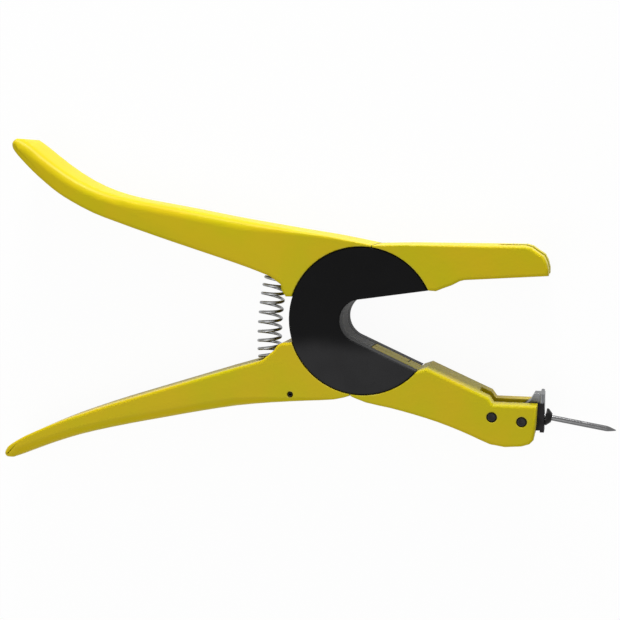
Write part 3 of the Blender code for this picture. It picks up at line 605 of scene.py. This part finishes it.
row_of_pieces = placed_tree()
turned_steel = steel("turned_steel", (1.0, 1.0, 0.25), roughness=0.30)
cheek_screws = [f"cheek_screw_{number}" for number in range(1, cheek_screw_count + 1)]
cheek_screw = countersunk(
    "cheek_screw",
    countersunk_radius,
    cheek_head_radius,
    cheek_head_rim,
    cheek_screw_length,
    turned_steel,
)
set_pieces(
    "cheek_screws",
    cheek_screw,
    [(middle(node).x, middle(node).y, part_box(node)[0].z) for node in cheek_screws],
    (math.pi, 0, 0),
    turned_steel,
    "needle_side",
    cheek_screws,
)


# The cross pins: two blackened steel dowels through the needle jaw's block. The right one is the
# carrier's hinge and the left one holds the detent leaf. Their chamfered, dished ends lie just
# under flush.
black_steel_deep = (0.0100, 0.0095, 0.0100, 1.0)
black_steel_rim = (0.0420, 0.0410, 0.0410, 1.0)
black_steel_stain = (0.0250, 0.0180, 0.0140, 1.0)
pin_radius = 0.0020
pin_chamfer = 0.0003
pin_dish = 0.00015
cross_pins = ("carrier_pin", "detent_pin")

blackened = steel(
    "blackened_steel",
    (1.0, 1.0, 0.3),
    roughness=0.42,
    ground=black_steel_deep,
    bright=black_steel_rim,
    stain=black_steel_stain,
)
pin_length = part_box("carrier_pin")[1].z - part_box("carrier_pin")[0].z
cross_pin = lathed(
    "cross_pin",
    [
        (pin_radius * 0.30, -pin_dish, 0),
        (pin_radius * 0.55, -pin_dish * 0.3, 0),
        (pin_radius - pin_chamfer, 0, 0),
        (pin_radius - pin_chamfer * 0.3, -pin_chamfer * 0.3, 0),
        (pin_radius, -pin_chamfer, 0),
        (pin_radius, pin_chamfer - pin_length, 0),
        (pin_radius - pin_chamfer * 0.3, pin_chamfer * 0.3 - pin_length, 0),
        (pin_radius - pin_chamfer, -pin_length, 0),
        (pin_radius * 0.55, pin_dish * 0.3 - pin_length, 0),
        (pin_radius * 0.30, pin_dish - pin_length, 0),
    ],
    screw_sides,
    blackened,
)
set_pieces(
    "cross_pins",
    cross_pin,
    [(middle(node).x, middle(node).y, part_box(node)[1].z) for node in cross_pins],
    (0, 0, 0),
    blackened,
    "needle_side",
    cross_pins,
)


# The detent leaf: a strip of spring steel rolled round the left pin, its tongue under the carrier's
# hub. It snaps the carrier out or in.
leaf_steel = steel("leaf_steel", (0.2, 0.2, 1.0), roughness=0.34)
detent_leaf = frame["nodes"]["detent_spring"]
detent_leaf.data.materials.clear()
detent_leaf.data.materials.append(leaf_steel)


# The needle carrier: a steel lever sawn from plate, drilled for its pin and for the needle. Its
# wide head is ground and rubbed bare. Between the ears it is darkened with painted shade.
carrier_dull = (0.090, 0.092, 0.099, 1.0)
carrier_edge = (0.240, 0.245, 0.250, 1.0)
carrier_stain = (0.050, 0.047, 0.043, 1.0)
# Near black: the painted shade between the ears.
carrier_painted_shade = (0.014, 0.013, 0.014, 1.0)
# How far above the pin the painted shade reaches, and how softly it ends.
shade_reach = 0.0074
shade_blend = 0.0008
ground_steel = steel(
    "ground_steel",
    (0.25, 1.0, 1.0),
    roughness=0.36,
    ground=carrier_dull,
    bright=carrier_edge,
    stain=carrier_stain,
)
ground_nodes = ground_steel.node_tree.nodes
ground_shader = ground_nodes["Principled BSDF"]
ground_colour = Wire(ground_shader.inputs["Base Color"].links[0].from_socket)
ground_place = Wire(ground_nodes["Texture Coordinate"].outputs["Object"])
# Painted shade: below this line, between the ears, the carrier is painted near black.
clear_of_shade = height_above(ground_place, middle("carrier_pin").y + shade_reach, shade_blend)
fed(ground_shader, {"Base Color": clear_of_shade.blended(carrier_painted_shade, ground_colour)})
dressed("needle_carrier", ground_steel, "carrier")


# The needle and its collar: a polished stainless pin with a long taper at its point, pressed into
# the carrier, and a blackened conical collar that seats the tag's stem.
needle_angle = math.radians(-8.9)
needle_offset = 0.0020
needle_radius = 0.0012
needle_root = 0.0040
needle_reach = 0.03948
needle_taper = 0.0040
collar_inner = 0.0015
collar_radius = 0.0037
collar_tip = 0.0021
collar_length = 0.0028
collar_step = 0.0010
collar_gap = 0.0003
collar_rim = 0.0002
collar_sides = 36
needle_sides = 28
plate_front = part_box("needle_carrier")[1].x - middle("carrier_pin").x

needle_dull = (0.110, 0.110, 0.112, 1.0)
needle_bright = (0.260, 0.260, 0.262, 1.0)
polished = steel(
    "polished_steel", (1.0, 1.0, 0.2), roughness=0.22, ground=needle_dull, bright=needle_bright
)
needle_run = Vector((math.cos(needle_angle), math.sin(needle_angle), 0))
needle_foot = middle("carrier_pin") + Vector((-needle_run.y, needle_run.x, 0)) * needle_offset
needle_turn = needle_run.to_track_quat("Z", "Y").to_matrix().to_4x4()
foot_ahead = needle_foot.x - middle("carrier_pin").x
collar_base = (plate_front - foot_ahead) / needle_run.x + collar_gap


def set_on_needle_line(piece, node):
    """Put a turned piece on the needle's line, its place in its mesh."""
    piece.data.transform(Matrix.Translation(needle_foot) @ needle_turn)
    scene.collection.objects.link(piece)
    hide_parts(node)
    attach(piece, "carrier")


needle_rings = [
    (needle_radius * 0.06, needle_reach, 0),
    (needle_radius * 0.22, needle_reach - needle_taper * 0.06, 0),
    (needle_radius * 0.45, needle_reach - needle_taper * 0.30, 0),
    (needle_radius * 0.76, needle_reach - needle_taper * 0.62, 0),
    (needle_radius * 0.94, needle_reach - needle_taper * 0.88, 0),
    (needle_radius, needle_reach - needle_taper * 1.10, 0),
    (needle_radius, needle_root + screw_end, 0),
    (needle_radius - screw_end, needle_root, 0),
]
needle = lathed("needle_dressed", needle_rings, needle_sides, polished)
set_on_needle_line(needle, "needle")
collar_top = collar_base + collar_length
collar_rings = [
    (collar_inner, collar_top, 0),
    (collar_tip - collar_rim, collar_top, 0),
    (collar_tip, collar_top - collar_rim, 0),
    (collar_radius - collar_rim, collar_base + collar_step + collar_rim, 0),
    (collar_radius, collar_base + collar_step - collar_rim / 2, 0),
    (collar_radius, collar_base + collar_rim / 2, 0),
    (collar_inner, collar_base + collar_rim / 2, 0),
]
collar = lathed("needle_collar_dressed", collar_rings, collar_sides, blackened, close=False)
set_on_needle_line(collar, "needle_collar")


# Under the anvil jaw: a ground steel fork that backs the female half of the tag, on two countersunk
# screws, and a blanked spring-steel clip below it on one round-headed screw.
jaw_slope = math.radians(3.8)
jaw_start = bearing + Vector((0.04486, 0.01880, 0))
jaw_turn = Matrix.Rotation(jaw_slope, 4, "Z")
plate_face = 0.0032
plate_screw_along = 0.01307
plate_screw_aside = 0.0059
plate_screw_length = 0.0065
plate_head_radius = 0.0020
clip_screw_along = 0.00463
clip_head_height = 0.0009

blanked = steel("blanked_steel", (0.2, 1.0, 1.0), roughness=0.33)
for node in ("anvil_plate", "tag_clip"):
    flat_piece = frame["nodes"][node]
    flat_piece.data.materials.clear()
    flat_piece.data.materials.append(blanked)


def in_jaw(along, up, aside):
    """A place measured along the jaw's underside, up into it and towards the front."""
    return tuple(jaw_start + jaw_turn @ Vector((along, up, aside)))


plate_screw = countersunk(
    "plate_screw",
    countersunk_radius,
    plate_head_radius,
    cheek_head_rim,
    plate_screw_length,
    turned_steel,
)
set_pieces(
    "anvil_screws",
    plate_screw,
    [in_jaw(plate_screw_along, plate_face, side * plate_screw_aside) for side in (1, -1)],
    (math.pi / 2, 0, jaw_slope),
    turned_steel,
    "anvil_side",
    ("anvil_screw_front", "anvil_screw_rear"),
)
clip_screw = lathed(
    "clip_screw_turned",
    [
        (plate_head_radius * 0.48, -0.0005, 6),
        (plate_head_radius * 0.52, 0, 6),
        (plate_head_radius * 0.70, 0, 0),
        (plate_head_radius * 0.90, -0.0001, 0),
        (plate_head_radius, -0.00035, 0),
        (plate_head_radius, -clip_head_height, 0),
        (countersunk_radius, -clip_head_height, 0),
        (countersunk_radius, screw_end - plate_screw_length, 0),
        (countersunk_radius - screw_end, -plate_screw_length, 0),
    ],
    screw_sides,
    turned_steel,
)
set_pieces(
    "clip_screw_dressed",
    clip_screw,
    [in_jaw(clip_screw_along, 0, 0)],
    (math.pi / 2, 0, jaw_slope),
    turned_steel,
    "anvil_side",
    ("clip_screw",),
)


# The roll pin in the lower grip: a strip of blackened spring steel rolled to a C and driven in, its
# ends chamfered.
roll_radius = 0.0011
roll_bore = 0.0006
roll_chamfer = 0.0003
roll_slit = math.radians(26.0)
roll_steps = 30
roll_low, roll_high = (corner.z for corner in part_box("roll_pin"))

roll_bm = bmesh.new()
roll_columns = []
for step in range(roll_steps + 1):
    turn = roll_slit / 2 + (math.tau - roll_slit) * step / roll_steps
    column = []
    for radius, height in (
        (roll_bore, roll_high),
        (roll_radius - roll_chamfer, roll_high),
        (roll_radius, roll_high - roll_chamfer),
        (roll_radius, roll_low + roll_chamfer),
        (roll_radius - roll_chamfer, roll_low),
        (roll_bore, roll_low),
    ):
        column.append(roll_bm.verts.new((radius * math.cos(turn), radius * math.sin(turn), height)))
    roll_columns.append(column)
for first, second in zip(roll_columns, roll_columns[1:]):
    for corner in range(len(first)):
        ahead = (corner + 1) % len(first)
        roll_bm.faces.new((first[corner], first[ahead], second[ahead], second[corner]))
roll_bm.faces.new(roll_columns[0])
roll_bm.faces.new(roll_columns[-1][::-1])
roll_place = middle("roll_pin")
bmesh.ops.translate(roll_bm, vec=(roll_place.x, roll_place.y, 0), verts=roll_bm.verts)
bmesh.ops.recalc_face_normals(roll_bm, faces=roll_bm.faces)
roll_mesh = bpy.data.meshes.new("roll_pin_dressed")
roll_bm.to_mesh(roll_mesh)
roll_bm.free()
roll_mesh.materials.append(blackened)
roll_mesh.shade_smooth()
roll_mesh.set_sharp_from_angle(angle=turned_crease)
roll_pin = bpy.data.objects.new("roll_pin_dressed", roll_mesh)
scene.collection.objects.link(roll_pin)
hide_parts("roll_pin")
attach(roll_pin, "anvil_side")


# The return spring: drawn spring wire coiled round a line that bows out between its two pockets,
# with a short straight leg at each end that stands on the pocket's floor.
wire_radius = 0.0007
coil_radius = 0.0050
coil_turns = 11
coil_start = 0.25
points_per_turn = 32
bow = 0.0080
leg = 2 * wire_radius
pocket_depth = 0.0034
pocket_gap = 0.0003
bend_steps = 8
wire_sides = 14
upper_seat = bearing + Vector((-0.04076, 0.01863, 0))
lower_seat = bearing + Vector((-0.04420, -0.01890, 0))
upper_lean = math.radians(24.0)
lower_lean = math.radians(12.0)
seat_depth = pocket_depth - pocket_gap - wire_radius - leg
upper_run = Vector((math.sin(upper_lean), math.cos(upper_lean), 0))
lower_run = Vector((math.sin(lower_lean), -math.cos(lower_lean), 0))
line_start = upper_seat + upper_run * seat_depth
line_end = lower_seat + lower_run * seat_depth
line_handles = (line_start, line_start - upper_run * bow, line_end - lower_run * bow, line_end)


def wire_point(share):
    """A point on the coiled wire, and the way the spring's bowed line runs there."""
    rest = 1 - share
    weights = (rest**3, 3 * rest**2 * share, 3 * rest * share**2, share**3)
    slopes = (
        -3 * rest**2,
        3 * rest * (rest - 2 * share),
        3 * share * (2 * rest - share),
        3 * share**2,
    )
    place = sum((w * p for w, p in zip(weights, line_handles)), Vector())
    run = sum((w * p for w, p in zip(slopes, line_handles)), Vector()).normalized()
    turn = math.tau * (coil_start + coil_turns * share)
    aside = Vector((-run.y, run.x, 0)) * math.cos(turn) + Vector((0, 0, math.sin(turn)))
    return place + aside * coil_radius


def wire_leg(last, before, run):
    """The bend out of the coil, and the leg that stands on the pocket's floor."""
    ahead = (last - before).normalized()
    corner = last + ahead * leg
    stop = corner + run * wire_radius
    shares = [step / bend_steps for step in range(1, bend_steps)]
    bend = [last.lerp(corner, t).lerp(corner.lerp(stop, t), t) for t in shares]
    return bend + [stop, stop + run * leg]


def wound_tree():
    """Nodes that draw a round wire along a path."""
    tree = bpy.data.node_groups.new("wound_wire", "GeometryNodeTree")
    for name, kind in (
        ("Path", "NodeSocketGeometry"),
        ("Wire radius", "NodeSocketFloat"),
        ("Sides", "NodeSocketInt"),
        ("Finish", "NodeSocketMaterial"),
    ):
        tree.interface.new_socket(name=name, in_out="INPUT", socket_type=kind)
    tree.interface.new_socket(name="Wire", in_out="OUTPUT", socket_type="NodeSocketGeometry")
    names = {
        "given": "NodeGroupInput",
        "path": "GeometryNodeMeshToCurve",
        "round": "GeometryNodeCurvePrimitiveCircle",
        "drawn": "GeometryNodeCurveToMesh",
        "smooth": "GeometryNodeSetShadeSmooth",
        "whole": "GeometryNodeRealizeInstances",
        "painted": "GeometryNodeSetMaterial",
        "made": "NodeGroupOutput",
    }
    nodes = {name: tree.nodes.new(kind) for name, kind in names.items()}
    nodes["drawn"].inputs["Fill Caps"].default_value = True
    links = (
        (nodes["given"].outputs["Path"], nodes["path"].inputs["Mesh"]),
        (nodes["given"].outputs["Wire radius"], nodes["round"].inputs["Radius"]),
        (nodes["given"].outputs["Sides"], nodes["round"].inputs["Resolution"]),
        (nodes["path"].outputs["Curve"], nodes["drawn"].inputs["Curve"]),
        (nodes["round"].outputs["Curve"], nodes["drawn"].inputs["Profile Curve"]),
        (nodes["drawn"].outputs["Mesh"], nodes["smooth"].inputs["Geometry"]),
        (nodes["smooth"].outputs["Geometry"], nodes["whole"].inputs["Geometry"]),
        (nodes["whole"].outputs["Geometry"], nodes["painted"].inputs["Geometry"]),
        (nodes["given"].outputs["Finish"], nodes["painted"].inputs["Material"]),
        (nodes["painted"].outputs["Geometry"], nodes["made"].inputs["Wire"]),
    )
    for start, end in links:
        tree.links.new(start, end)
    return tree


wire_steel = steel("wire_steel", (1.0, 1.0, 1.0), roughness=0.26)
coil_count = coil_turns * points_per_turn
coil = [wire_point(step / coil_count) for step in range(coil_count + 1)]
upper_leg = wire_leg(coil[0], coil[1], upper_run)[::-1]
lower_leg = wire_leg(coil[-1], coil[-2], lower_run)
wire_path = upper_leg + coil + lower_leg
wire_mesh = bpy.data.meshes.new("return_spring_wire")
wire_mesh.from_pydata(wire_path, [(step, step + 1) for step in range(len(wire_path) - 1)], [])
return_spring = bpy.data.objects.new("return_spring_wire", wire_mesh)
scene.collection.objects.link(return_spring)
wire_sizes = {"Wire radius": wire_radius, "Sides": wire_sides, "Finish": wire_steel}
grown(return_spring, wound_tree(), wire_sizes)
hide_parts("return_spring")
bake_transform(return_spring)
